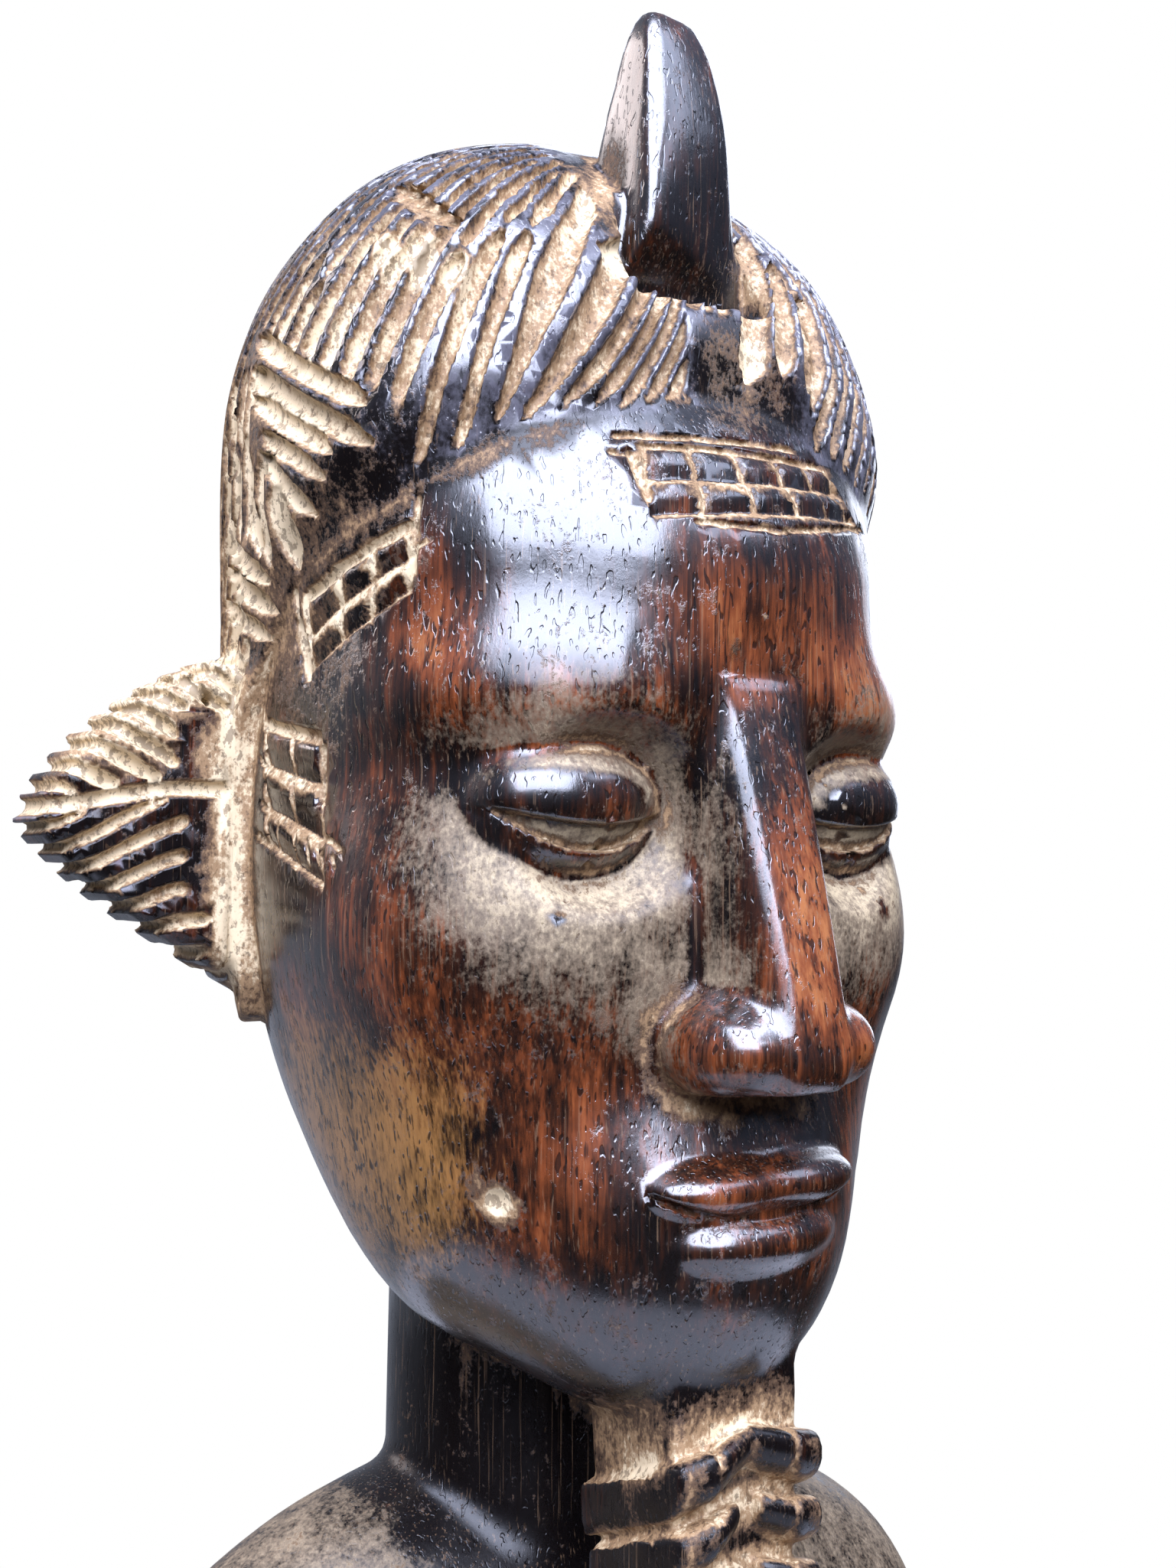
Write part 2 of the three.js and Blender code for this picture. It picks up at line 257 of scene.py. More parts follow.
def eyeField(p, side):
    middle, line = side * face["eyeOffset"], face["eyeLine"]
    across = (p[0] - middle) / eyeHalfWidth
    lidEdge = line - face["lidGap"] + lidBow * across ** 2
    rimEdge = line - face["lidGap"] - face["slit"] + rimBow * across ** 2
    lid, ball, rim = [
        egg(p, (middle, face["eyeDepth"] + back, line + up, *radii))
        for back, up, *radii in eyeForms.values()
    ]
    lid = overlap(lid, lidEdge - p[2], 0.5)
    rim = overlap(rim, p[2] - rimEdge, 0.5)
    return meld(meld(lid, rim, 0.7), ball, 0.25)


def noseField(p):
    base = face["noseBase"]
    ridge = hull(p, nosePlanes, 0.45)
    wings = eggs(p, pair(5.6, -33.4, base + 4.0, 4.5, 7.4, 4.5), 0.5)
    nose = overlap(meld(ridge, wings, 2.4), base - 0.1 - p[2], 0.8)
    for form in pair(4.3, -35.4, base - 0.6, 1.5, 2.0, 2.3):
        nose = carve(nose, egg(p, form), 0.4)
    return nose


def mouthField(p):
    line = face["mouthLine"]
    upper = eggs(p, pair(4.1, -31.2, line + 2.3, 7.8, 4.9, 2.8), 1.2)
    lower = egg(p, (0, -31.0, line - 2.7, 9.6, 5.1, 3.2))
    parting = np.abs(p[2] - line - 0.02 * p[0] ** 2 + 0.5) - 0.35
    return carve(meld(upper, lower, 0.35), np.maximum(parting, -p[1] - 35.4), 0.4)


def skinField(p):  # the head before its features, a little uneven from the knife
    smooth = eggs(p, skullForms + faceForms, face["blend"])
    return smooth + 0.16 * rough(p, (9, 9, 16), 1) + 0.05 * rough(p, (2.2, 2.2, 7), 2)


def featureField(p):
    front = skinField(p)
    for side in (-1, 1):
        hollow = (side * (face["eyeOffset"] + 1.5), -39.2, face["eyeLine"] - 1.8, 14.8, 14, 11.0)
        front = carve(front, egg(p, hollow), face["browSharpness"])
    front = meld(front, noseField(p), 1.6)
    for side in (-1, 1):
        front = meld(front, eyeField(p, side), 1.0)
    front = meld(front, mouthField(p), 0.9)
    philtrum = np.hypot(p[0], (p[1] + 35.6) * 0.9) - 1.3
    return carve(front, overlap(philtrum, np.abs(p[2] - face["mouthLine"] - 8) - 3, 1), 1.2)


def headField(p):
    skin = skinField(p)
    region = (np.abs(p[0]) < 31) & (p[1] < -14) & (p[2] > 74) & (p[2] < face["brow"] + 14)
    if region.any():
        skin[region] = featureField(p[:, region])
    return skin


# scar marks
# Each patch is chip carved: a chip runs down from the surface and ends at a short steep lip above the
# next row, with V cuts standing between the chips. Corners are (degrees round the head, height), from
# the upper left.
marks = {
    "depth": 0.95,      # of a chip just above its lip
    "crown": 0.3,       # how far the top of a chip stands out
    "vee": 0.8,         # depth of an upright cut
    "forehead": {
        "corners": [(-20.3, 162.2), (26.5, 163.6), (33, 158.6), (-18.8, 155.3)],
        "rows": [0, 0.5, 1], "columns": [0, 0.2, 0.41, 0.62, 0.82, 1],
        "slant": 0.06, "lip": 0.5, "outline": 0.4, "half": 0.95,
    },
    "temple": {
        "corners": [(-80.8, 149.2), (-56.4, 154.7), (-57.5, 148.7), (-80.2, 142.4)],
        "rows": [0, 0.5, 1], "columns": [0, 0.38, 0.69, 1],
        "slant": 0.0, "lip": 1.25, "outline": 0.75, "half": 0.9,
    },
    "cheek": {
        "corners": [(-94.6, 137.7), (-76.8, 135.8), (-73.3, 122.3), (-90.5, 126)],
        "rows": [0, 0.34, 0.7, 1], "columns": [0, 0.53, 1],
        "slant": 0.0, "lip": 1.2, "outline": 0.8, "half": 0.55,
    },
}
# single gouge strokes round the patches: start and end in the same terms, then half width
strokes = {
    "forehead": [
        (-24.6, 163.1, 19.5, 164.8, 0.38), (-22, 161.6, -19.3, 156.6, 0.62),
        (-25.6, 161.3, -22.8, 161.0, 0.3), (-12, 155.0, 5, 155.1, 0.34), (5, 155.1, 40, 158.6, 0.34),
    ],
    "temple": [
        (-83.8, 147.4, -80.9, 141.4, 0.8), (-84.3, 150.4, -83.8, 147.4, 0.35),
        (-56, 157.2, -56.6, 150, 0.45), (-55.8, 152.5, -53.4, 153.2, 0.25),
    ],
    "cheek": [
        (-96.2, 134.4, -93, 133.6, 0.4), (-94.4, 130.1, -91, 129.2, 0.45),
        (-75, 126.8, -68.9, 125.3, 0.4), (-95.8, 127, -89, 125.6, 0.55),
        (-71.2, 124.9, -70.2, 123.4, 0.25), (-76.3, 135.3, -75.8, 129.8, 0.8),
        (-87.7, 128.4, -87.8, 125.5, 0.3), (-78.9, 126.6, -77.8, 123.7, 0.3),
        (-75.6, 126.5, -74.7, 123.9, 0.3),
    ],
}


def markPlace(p, corners):  # share across and down a patch, 0 to 1, and the patch's size there in mm
    turn, height, reach = p
    (a0, h0), (a1, h1), (a2, h2), (a3, h3) = corners
    u = (turn - a0) / (a1 - a0)
    for _ in range(3):
        top = h0 + (h1 - h0) * u
        bottom = h3 + (h2 - h3) * u
        v = (top - height) / (top - bottom)
        left = a0 + (a3 - a0) * v
        right = a1 + (a2 - a1) * v
        u = (turn - left) / (right - left)
    return u, v, (right - left) * reach, top - bottom


def markRelief(p, name, wobble):  # depth of the carving and how much pale dust it holds
    patch = marks[name]
    u, v, wide, high = markPlace(p, patch["corners"])
    past = np.maximum(np.abs(u - 0.5) * wide - wide / 2, np.abs(v - 0.5) * high - high / 2)
    inside = 1 - ramp(past, 0.1, 0.7)
    depth = -marks["crown"] * inside
    dust = np.zeros(len(u), np.float32)
    for above, line in zip(patch["rows"], patch["rows"][1:]):
        rise = (line - v) * high + 0.15 * wobble
        chip = (line - above) * high * 0.8
        fall = np.clip(np.minimum(1 - rise / chip, 1 + rise / patch["lip"]), 0, 1)
        within = inside * (rise > -patch["lip"]) * (rise < chip)
        depth = np.maximum(depth, marks["depth"] * fall * within - marks["crown"])
        dust = np.maximum(dust, within * (rise < 0.05))
    for line in patch["columns"]:
        side = (u - line + patch["slant"] * (v - 0.5)) * wide + 0.2 * wobble
        half = patch["half"] * (1.15 - 0.5 * np.clip(v * 2 - np.floor(v * 2), 0, 1))
        fall = np.clip(1 - np.abs(side) / half, 0, 1) * inside
        depth = np.maximum(depth, marks["vee"] * fall - marks["crown"] * (fall > 0))
        dust = np.maximum(dust, (fall > 0.1) * np.where(side < half * 0.15, 1, 0.35))
    turn, height, reach = p
    upperEdge = (*patch["corners"][0], *patch["corners"][1], patch["outline"])
    for a0, h0, a1, h1, half in [*strokes[name], upperEdge]:
        da, dh = (a1 - a0) * reach, h1 - h0
        length = np.hypot(da, dh)
        along = ((turn - a0) * reach * da + (height - h0) * dh) / length
        across = ((turn - a0) * reach * dh - (height - h0) * da) / length + 0.15 * wobble
        taper = ramp(along, -0.4, 0.6) * (1 - ramp(along, length - 0.8, length + 0.4))
        fall = np.clip(1 - np.abs(across) / half, 0, 1) * taper
        depth = np.maximum(depth, 0.7 * np.sqrt(fall) * (half + 0.3))
        dust = np.maximum(dust, ramp(fall, 0.05, 0.3))
    return depth, dust


def allMarks(p):
    depth = zeros(p)
    dust = zeros(p)
    here = (p[1] < 9) & (p[2] > 119) & (p[2] < 167) & (np.hypot(p[0], p[1]) > 18)
    if here.any():
        q = p[:, here]
        turn = np.degrees(np.arctan2(q[0], -q[1]))
        reach = np.hypot(q[0], q[1]) * math.radians(1)
        wobble = rough(q, 1.6, 5)
        deepest, dustiest = markRelief((turn, q[2], reach), "forehead", wobble)
        for name in ("temple", "cheek"):
            deeper, dustier = markRelief((-np.abs(turn), q[2], reach), name, wobble)
            deepest = np.where(np.abs(deeper) > np.abs(deepest), deeper, deepest)
            dustiest = np.maximum(dustiest, dustier)
        depth[here], dust[here] = deepest, dustiest
    return depth, dust


# hair
hair = {
    "thickness": 2.6,
    "edge": 1.1,         # how far its front edge stands above the skin, and how wide its slope is there
    "edgeSlope": 7.0,
    "locks": 72,
    "valley": 1.45,      # half width of a cut between two locks
    "depth": 1.2,
    "lean": 20.0,        # degrees that the locks' meeting point leans forward
    "evenStart": 4.5,    # how far from that point the even locks start, and at least the odd ones
    "oddStart": 12.0,
    "plainFrom": -3.6,   # X of the strip under the topknot without locks, and its top
    "plainTo": 14.0,
    "plainTop": 177.0,
    "frontSlant": 1.2,   # degrees that the front locks drift to the figure's left in each mm of height
    "nape": 108.0,
    "barSlope": 0.54,
    "barTop": 174.3,     # height of the temple plait's first bar at Y = 0
    "scratchPitch": 1.15,
    "strandPitch": 1.9,
    # gouges of the temple plait, then of the side below it, as (Y, Z): start, end, half width and depth
    "templeCuts": [
        ((3.4, 176.2), (-16.5, 165.3), 1.15, 1.2), ((2.6, 172.6), (-16.8, 161.7), 1.2, 1.3),
        ((1.2, 169.6), (-12.9, 161.3), 1.05, 1.2), ((-1.2, 165.7), (-11.7, 159.1), 1.0, 1.1),
        ((-1.0, 163.8), (-9.4, 156.0), 1.1, 1.2), ((2.5, 166.5), (0.1, 153.0), 1.0, 0.9),
        ((-1.2, 163.5), (-0.8, 151.9), 0.9, 0.9), ((-3.6, 160.4), (-4.8, 151.4), 1.7, 0.9),
        ((9.9, 157.4), (-0.9, 151.0), 1.2, 1.2), ((9.9, 154.2), (-1.2, 147.9), 1.2, 1.1),
        ((11.4, 150.9), (0.2, 145.6), 1.1, 1.0),
    ],
    # lens-shaped gouges on the figure's left of the topknot, as (X, Z)
    "lensCuts": [
        ((4.4, 170.8), (9.8, 189), 1.9, 1.4), ((8.9, 172), (12.6, 187), 1.4, 1.2),
        ((12.6, 171), (14.6, 183), 1.2, 1.1),
    ],
    # a gouge that crosses the locks, as (Y, Z)
    "crownCut": ((-8.5, 189.6), (-18.5, 182.6), 0.8, 1.3),
}
hairCentre = (0.0, 4.0, 160.0)
hairEdge = [
    (-34, face["hairline"] + 1), (-28.2, face["hairline"] - 0.8), (-26.6, 165), (-20, 159.2),
    (-12, 154.6), (-4, 151), (1.5, 145), (4.5, 139), (5.5, 132),
]
lockChance = np.random.default_rng(5).random((6, hair["locks"])).astype(np.float32)


def hairOutline():
    outline = [(-60, 240), (-60, face["hairline"]), *hairEdge[:1]]
    knots = [hairEdge[1], *hairEdge[1:], hairEdge[-1]]
    for a, b, c, d in zip(knots, knots[1:], knots[2:], knots[3:]):
        for step in range(6):
            t = step / 6
            outline.append(tuple(
                0.5 * (2 * b[i] + (c[i] - a[i]) * t + (2 * a[i] - 5 * b[i] + 4 * c[i] - d[i]) * t * t
                       + (3 * b[i] - a[i] - 3 * c[i] + d[i]) * t ** 3)
                for i in range(2)
            ))
    nape = hair["nape"]
    outline += [(5.5, 132), (5.5, nape + 4), (6.5, nape + 1), (10, nape), (60, nape), (60, 240)]
    return np.array(outline, np.float32)


def flatDistance(a, b, outline):  # distance to a closed outline in a plane, negative inside
    best = np.full(a.shape, 1e6, np.float32)
    inside = np.zeros(a.shape, bool)
    for (a0, b0), (a1, b1) in zip(outline, np.roll(outline, -1, 0)):
        da, db = a1 - a0, b1 - b0
        share = np.clip(((a - a0) * da + (b - b0) * db) / (da * da + db * db), 0, 1)
        best = np.minimum(best, (a - a0 - share * da) ** 2 + (b - b0 - share * db) ** 2)
        crosses = ((b0 > b) != (b1 > b)) & (a < da * (b - b0) / (db + 1e-9) + a0)
        inside ^= crosses
    return np.sqrt(best) * np.where(inside, -1, 1)


tableStep = 0.4
tableLow = (-62.0, -2.0)
tableCount = (320, 560)


def makeTable(outline):  # a flat outline's distances, kept on a fine net so that they are quick to read
    a = tableLow[0] + np.arange(tableCount[0], dtype=np.float32) * tableStep
    b = tableLow[1] + np.arange(tableCount[1], dtype=np.float32) * tableStep
    return flatDistance(*np.meshgrid(a, b, indexing="ij"), outline)


def readTable(table, a, b):
    u = np.clip((a - tableLow[0]) / tableStep, 0, tableCount[0] - 1.01)
    v = np.clip((b - tableLow[1]) / tableStep, 0, tableCount[1] - 1.01)
    i, j = u.astype(np.int32), v.astype(np.int32)
    s, t = u - i, v - j
    return ((table[i, j] * (1 - s) + table[i + 1, j] * s) * (1 - t)
            + (table[i, j + 1] * (1 - s) + table[i + 1, j + 1] * s) * t)


hairTable = makeTable(hairOutline())
slantLevel = 166.0


def makeSlantTable():  # where a lock that passes a given angle and height starts from at the hairline
    start = np.arange(-190, 191, 1.0)
    share = (1 - ramp(-start, 31, 46)) * (1 - ramp(start, 25, 110))
    angles = (tableLow[0] + np.arange(tableCount[0]) * tableStep) * 3
    table = np.empty(tableCount, np.float32)
    for j in range(tableCount[1]):
        rise = (tableLow[1] + j * tableStep) / 4 - 10
        table[:, j] = np.interp(angles, start + hair["frontSlant"] * share * rise, start)
    return table


slantTable = makeSlantTable()


def plaitTop(y):
    return hair["barTop"] + hair["barSlope"] * y


def templeArea(p):  # 1 inside the temple plait, 0 outside
    side = ramp(np.abs(p[0]), 20, 23)
    below = 1 - ramp(p[2] - plaitTop(p[1]), 0.6, 2.4)
    return side * ramp(p[1], -20, -17) * (1 - ramp(p[1], 4, 6)) * below


def lockCut(p):
    dy, dz = p[1] - hairCentre[1], p[2] - hairCentre[2]
    lean = math.radians(hair["lean"])
    back = math.cos(lean) * dy + math.sin(lean) * dz
    radius = np.hypot(p[0], back)
    angle = np.degrees(np.arctan2(p[0], -back))
    start = readTable(slantTable, angle / 3, (np.clip(p[2] - slantLevel, -8, 45) + 10) * 4)
    turn = start * hair["locks"] / 360 + 0.13 * rough(p, 11, 7)
    cell = np.floor(turn)
    lock = cell.astype(np.int32) % hair["locks"]
    chance = lockChance[:, lock]
    pitch = 2 * math.pi * radius / hair["locks"]
    pitch = pitch * (1 + 0.35 * ramp(-p[1], 18, 26) * ramp(p[2], 164, 172))
    across = (turn - cell - 0.5) * pitch
    odd = lock % 2 == 1
    rise = p[2] - np.interp(p[1], *np.array(hairEdge, np.float32).T)
    aboveEdge = np.maximum(-readTable(hairTable, p[1], p[2]), rise * ramp(-p[1], 8, 14))
    lower = ramp(aboveEdge, 0.8 * chance[0] - 0.6, 2.6 + 2.4 * chance[0])
    inner = np.where(odd, hair["oddStart"] + 6 * chance[1], hair["evenStart"])
    besideCrest = np.abs(p[0] + 1.1) - 9.7 + 1.5 * ramp(p[2], 181, 186)
    gap = np.maximum(np.maximum(besideCrest, np.abs(p[1] + 14) - 7.5), 172 - p[2])
    upper = ramp(radius, inner - 2, inner + 3) * ramp(gap, -0.5, 1.0)
    # here and there a new gouge starts where the last one stopped
    stop = p[2] - 177 - 10 * chance[4]
    pinch = 1 - 0.75 * (chance[5] > 0.55) * np.exp(-(stop / 1.1) ** 2)
    half = hair["valley"] * (0.85 + 0.3 * chance[2]) * (1 + 0.12 * rough(p, 5, 8))
    half = np.minimum(half, pitch * np.where(odd | (radius > 22), 0.36, 0.56)) * lower * upper * pinch
    half = half * (1 - 0.45 * ramp(np.abs(p[0]), 15, 22) * (1 - ramp(aboveEdge, 4, 17)) * (p[1] < 0))
    half = half * (1 - 0.35 * ramp(p[2], 178, 190) * ramp(np.abs(p[0]), 6, 14))
    plainFrom, plainTo, plainTop = hair["plainFrom"], hair["plainTo"], hair["plainTop"]
    plain = ramp(p[0], plainFrom, plainFrom + 1.4) * (1 - ramp(p[0], plainTo - 1.4, plainTo)) * (p[1] < 0)
    plain = 1 - plain * (1 - ramp(p[2] - 9 * ramp(p[0], 3.5, 5), plainTop, plainTop + 2))
    cut = groove(across, half, hair["depth"] * (0.8 + 0.4 * chance[3])) * (1 - templeArea(p)) * plain
    wobble = rough(p, 4, 9)
    for stroke in hair["lensCuts"]:
        cut = np.maximum(cut, strokeCut(p[0], p[2], stroke, wobble) * (p[1] < -14))
    return np.maximum(cut, strokeCut(p[1], p[2], hair["crownCut"], wobble) * (p[0] < -20) * 1.2)


def strokeCut(a, b, stroke, wobble):  # one straight gouge, seen flat: start, end, half width and depth
    (a0, b0), (a1, b1), half, depth = stroke
    da, db = a1 - a0, b1 - b0
    length = math.hypot(da, db)
    along = ((a - a0) * da + (b - b0) * db) / length
    across = ((b - b0) * da - (a - a0) * db) / length + 0.2 * wobble
    taper = ramp(along, -0.5, 2.5) * (1 - ramp(along, length - 3.5, length + 0.3))
    return groove(across, half * taper, depth)


def templeCut(p):
    cut = zeros(p)
    here = (np.abs(p[0]) > 17) & (p[1] > -22) & (p[1] < 18) & (p[2] > 146) & (p[2] < 182)
    if not here.any():
        return cut
    q = p[:, here]
    deep = zeros(q)
    wobble = rough(q, 4, 9)
    for stroke in hair["templeCuts"]:
        deep = np.maximum(deep, strokeCut(q[1], q[2], stroke, wobble))
    # chisel scratches across the blocks between the bars
    pitch = hair["scratchPitch"]
    scratch = q[1] / pitch + 0.2 * rough(q, 3, 11)
    scratched = templeArea(q) * (q[2] < 171) * ramp(rough(q, (2, 2, 4), 12), 0.1, 0.6)
    deep = np.maximum(deep, groove((scratch - np.floor(scratch) - 0.5) * pitch, 0.24 * scratched, 0.4))
    # fine upright strands behind the bars
    pitch = hair["strandPitch"]
    strand = (q[1] + 0.06 * (q[2] - 150)) / pitch + 0.15 * rough(q, 6, 10)
    band = ramp(q[1], -0.5, 1.5) * (1 - ramp(q[1], 10, 13))
    band = band * ramp(q[2], 154, 158) * (1 - ramp(q[2], 171, 175))
    fine = groove((strand - np.floor(strand) - 0.5) * pitch, 0.62 * band, 0.75)
    cut[here] = np.maximum(deep, fine)
    return cut


def hairField(p):
    cut = np.maximum(lockCut(p), templeCut(p))
    worn = 0.14 * rough(p, (5, 5, 9), 3)
    edge = readTable(hairTable, p[1], p[2])
    thin = (1 - ramp(-edge, 0, hair["edgeSlope"])) * ramp(p[2], 138, 146)
    shell = skullField(p) - hair["thickness"] + (hair["thickness"] - hair["edge"]) * thin + cut + worn
    return overlap(shell, edge, 0.7)


# topknot
crest = {
    "top": 209.0,
    "ledge": 178.6,
    "beak": 185.8,  # its lowest point in front
    "wear": 0.32,   # softness of its edges
}
lugSections = [
    (crest["top"], 3.2, -20.8, -18),
    (crest["top"] - 3, 4.5, -22.2, -17),
    (198, 5.4, -23.7, -15),
]
lugPlanes = hullPlanes([
    *[
        point
        for height, half, front, back in lugSections
        for point in [
            (-half, back, height), (half, back, height), (half, front + 0.9, height),
            (-half * 0.92, front + half * 0.2, height), (-half * 0.35, front, height),
        ]
    ],
    (-5.4, -24.5, crest["beak"]),
    (5.6, -22.8, crest["beak"] + 9.4),
    *[(8.4, y, height) for y in (-20.3, -12) for height in (crest["ledge"] + 2, crest["ledge"] + 7)],
    *[(-7.7, y, crest["ledge"] + 0.6) for y in (-20.4, -12)],
])
stemPlanes = hullPlanes([
    (x, y, crest["ledge"] + rise)
    for x in (-8.0, 7.4)
    for y in (-20.5, -7.5)
    for rise in (-11, 11)
])
crestBox = ((-9, -27, 166), (9, -6, 210))
notchBox = ((-8, -42, 178), (8, -20, 190))


def crestField(p):
    block = meld(hull(p, lugPlanes, crest["wear"]), hull(p, stemPlanes, 0.4), 0.8)
    return block + 0.06 * rough(p, (2, 2, 6), 4)


def notchField(p):
    below = crest["ledge"] - p[2] + 0.15 * rough(p, (2, 2, 4), 5)
    return overlap(overlap(below, p[1] + 20.6, 0.3), np.abs(p[0] - 0.5) - 8.3, 0.3)


# side lobes
lobe = {
    "middle": 11.0,      # Y of its middle plane
    "half": 5.5,         # half its thickness
    "round": 2.4,
    "reach": 54.5,
    "strandPitch": 3.25,
    "upperPitch": 2.9,
    "cut": 1.15,
}


def curve(start, control, end, steps=10):
    return [
        tuple((1 - t) ** 2 * start[i] + 2 * t * (1 - t) * control[i] + t * t * end[i] for i in range(2))
        for t in np.linspace(0, 1, steps)
    ]


lobeOutline = [
    *curve((20, 148), (38, 146.5), (48.2, 137.1)),
    *curve((48.2, 137.1), (lobe["reach"], 131), (lobe["reach"] - 0.8, 127.5))[1:],
    *curve((lobe["reach"] - 0.8, 127.5), (46, 118), (22, 106))[1:],
]
lobeTable = makeTable(np.array(lobeOutline, np.float32))
lobeBox = ((-56, 4, 104), (56, 18, 150))


def ribHeight(s):
    return 131.4 - ramp(s, 40, 55) * 2.0


def lobeCut(s, z, p):
    rib = ribHeight(s)
    below = rib - z
    wobble = 0.10 * rough(p, 3.5, 12)
    # lower strands: they fall outward, less steeply near the bottom
    q = (rib - z - (0.42 - 0.02 * np.clip(below, 0, 18)) * (s - 40)) / lobe["strandPitch"] + wobble
    line = np.abs(q - np.round(q)) * lobe["strandPitch"]
    end = 39.4 - 2.4 * ramp(below, 9, 13)
    rootFade = ramp(s, end - 0.6, end + 0.8)
    low = groove(line, 0.80 * rootFade * ramp(below, 0.3, 1.6), lobe["cut"])
    # upper strands: they rise outward
    q = (z - rib - 0.70 * (s - 40)) / lobe["upperPitch"] + 0.35 + wobble
    line = np.abs(q - np.round(q)) * lobe["upperPitch"]
    blockFade = np.maximum(ramp(s, 40, 41.5), ramp(z, 138.5, 140))
    high = groove(line, 0.95 * blockFade * ramp(-below, 0.4, 1.6), lobe["cut"])
    ribCut = groove(below, 0.85 * ramp(s, 30, 34), 0.95)
    edge = groove(s - 34.6, 0.8, 0.7)
    return np.maximum(np.maximum(np.where(below > 0, low, high), ribCut), edge)


def lobeField(p):
    def make(q):
        s = np.abs(q[0])
        flat = readTable(lobeTable, s, q[2])
        side = np.abs(q[1] - lobe["middle"]) - lobe["half"]
        a, b = np.maximum(flat + lobe["round"], 0), np.maximum(side + lobe["round"], 0)
        leaf = np.hypot(a, b) - lobe["round"] + np.minimum(np.maximum(flat, side) + lobe["round"], 0)
        return leaf + lobeCut(s, q[2], q) + 0.1 * rough(q, 4, 13)
    return near(p, *lobeBox, make)


# beard
beard = {
    "top": 71.3,         # height of the first pair of strands at the middle
    "bottom": 38.0,
    "pitch": 5.85,
    "rows": 5,
    "middle": 0.85,      # X of the dusty strip between the strands
    "frontSlope": 0.3,   # how steeply a strand falls across the front, and along the side
    "sideSlope": 0.42,
    "back": -15.6,       # Y of the top strand's back end
    "backStep": 1.45,
}
beardBox = ((-10.4, -33, beard["bottom"]), (10.4, -14, 80))
coreCorners = [  # distance from the middle, Y and height
    (8.2, -29.2, 79), (8.4, -14.5, 79), (8.4, -15.8, 66), (8.0, -28.8, 42), (8.0, -20.6, 42),
    (4, -27.4, beard["bottom"]), (4, -22.6, beard["bottom"]),
]
corePlanes = hullPlanes([
    (side * x + 0.6 * beard["middle"], y, height)
    for side in (-1, 1)
    for x, y, height in coreCorners
])
# a strand's course: distance from the middle, front, and half its height
strandCourse = [(1.1, -31.0, 2.1), (4.6, -32.4, 2.4), (8.6, -31.2, 2.4), (9.2, -29.4, 2.3)]


def strandPlanes(side, row):
    middle = beard["top"] - row * beard["pitch"]
    back = beard["back"] - row * beard["backStep"]
    course = strandCourse
    if row == 0:  # the first pair meets in the middle
        course = [(x - 1.8 * (x < 3), front, half + 0.3) for x, front, half in course]
    pieces = []
    for ends in zip(course, course[1:]):
        points = []
        for x, front, half in ends:
            for y, share in [(front, 0.35), (front + 0.7, 0.8), (front + 2.2, 1), (back, 1)]:
                height = middle - x * beard["frontSlope"] - (y - front) * beard["sideSlope"]
                for end in (-1, 1):
                    points.append((side * x + beard["middle"], y, height + half * share * end))
        pieces.append(hullPlanes(points))
    return pieces


strands = [
    planes
    for row in range(beard["rows"])
    for side in (-1, 1)
    for planes in strandPlanes(side, row)
]


def beardField(p):
    def make(q):
        total = hull(q, corePlanes, 0.6)
        for planes in strands:
            total = meld(total, hull(q, planes, 0.3), 0.35)
        return total + 0.08 * rough(q, 3, 14)
    return near(p, *beardBox, make)


# neck and shoulders
trunk = {
    "neckTop": 13.5,    # radius
    "neckFoot": 14.8,
    "neckCentre": 8.0,
}
trunkForms = [
    (0, 8, 24.5, 54, 22, 38),
    (0, 8, 0, 36, 24, 48),
    *pair(38, 8, 27, 18, 17.5, 20.5),
    *pair(42.5, 7, -2, 13.2, 15.5, 42),
]


def trunkField(p):
    share = np.clip((p[2] - 40) / 80, 0, 1)
    radius = trunk["neckFoot"] + (trunk["neckTop"] - trunk["neckFoot"]) * share
    neck = overlap(np.hypot(p[0], p[1] - trunk["neckCentre"]) - radius, np.abs(p[2] - 80) - 40, 1)
    worked = 0.18 * rough(p, (7, 7, 14), 15)
    return meld(neck, eggs(p, trunkForms, 6), 2.2) + worked


# old damage, each with its centre and radii
damage = {
    "cheekPit": (-22.7, -23.6, 94.2, 1.8, 1.8, 1.7),
    "upperWormHole": (-38.1, 6.0, 142.5, 0.75, 2.2, 0.75),
    "lowerWormHole": (-37.4, 6.6, 140.0, 0.6, 2.0, 0.6),
}
damageEdge = 0.15


# the whole bust
seams = {  # how softly each part flows into the next
    "hair": 0.5,
    "notch": 0.35,
    "topknot": 0.7,
    "lobes": 0.9,
    "trunk": 1.6,
    "beard": 1.0,
}


def bustField(p):
    head = headField(p)
    above = p[2] > 100
    if above.any():
        q = p[:, above]
        top = meld(head[above] + allMarks(q)[0], hairField(q), seams["hair"])
        crown = carve(top, near(q, *notchBox, notchField), seams["notch"])
        head[above] = meld(crown, near(q, *crestBox, crestField), seams["topknot"])
    total = meld(head, lobeField(p), seams["lobes"])
    low = p[2] < 124
    if low.any():
        q = p[:, low]
        total[low] = meld(meld(total[low], trunkField(q), seams["trunk"]), beardField(q), seams["beard"])
    for form in damage.values():
        total = carve(total, egg(p, form), damageEdge)
    return np.maximum(total, -p[2])


def inParts(make, p, size=150000):
    return np.concatenate([make(p[:, i:i + size]) for i in range(0, p.shape[1], size)], -1)


# mesh of the bust
net = {
    "low": (-58.4, -44.0, -1.6),
    "cells": (15, 11, 27),      # coarsest blocks
    "block": 8.0,
    "halvings": 4,              # 8 mm blocks down to 0.5 mm
    "triangles": 160000,
    "fineEdge": 0.32,           # longest edge left on the scar marks
}


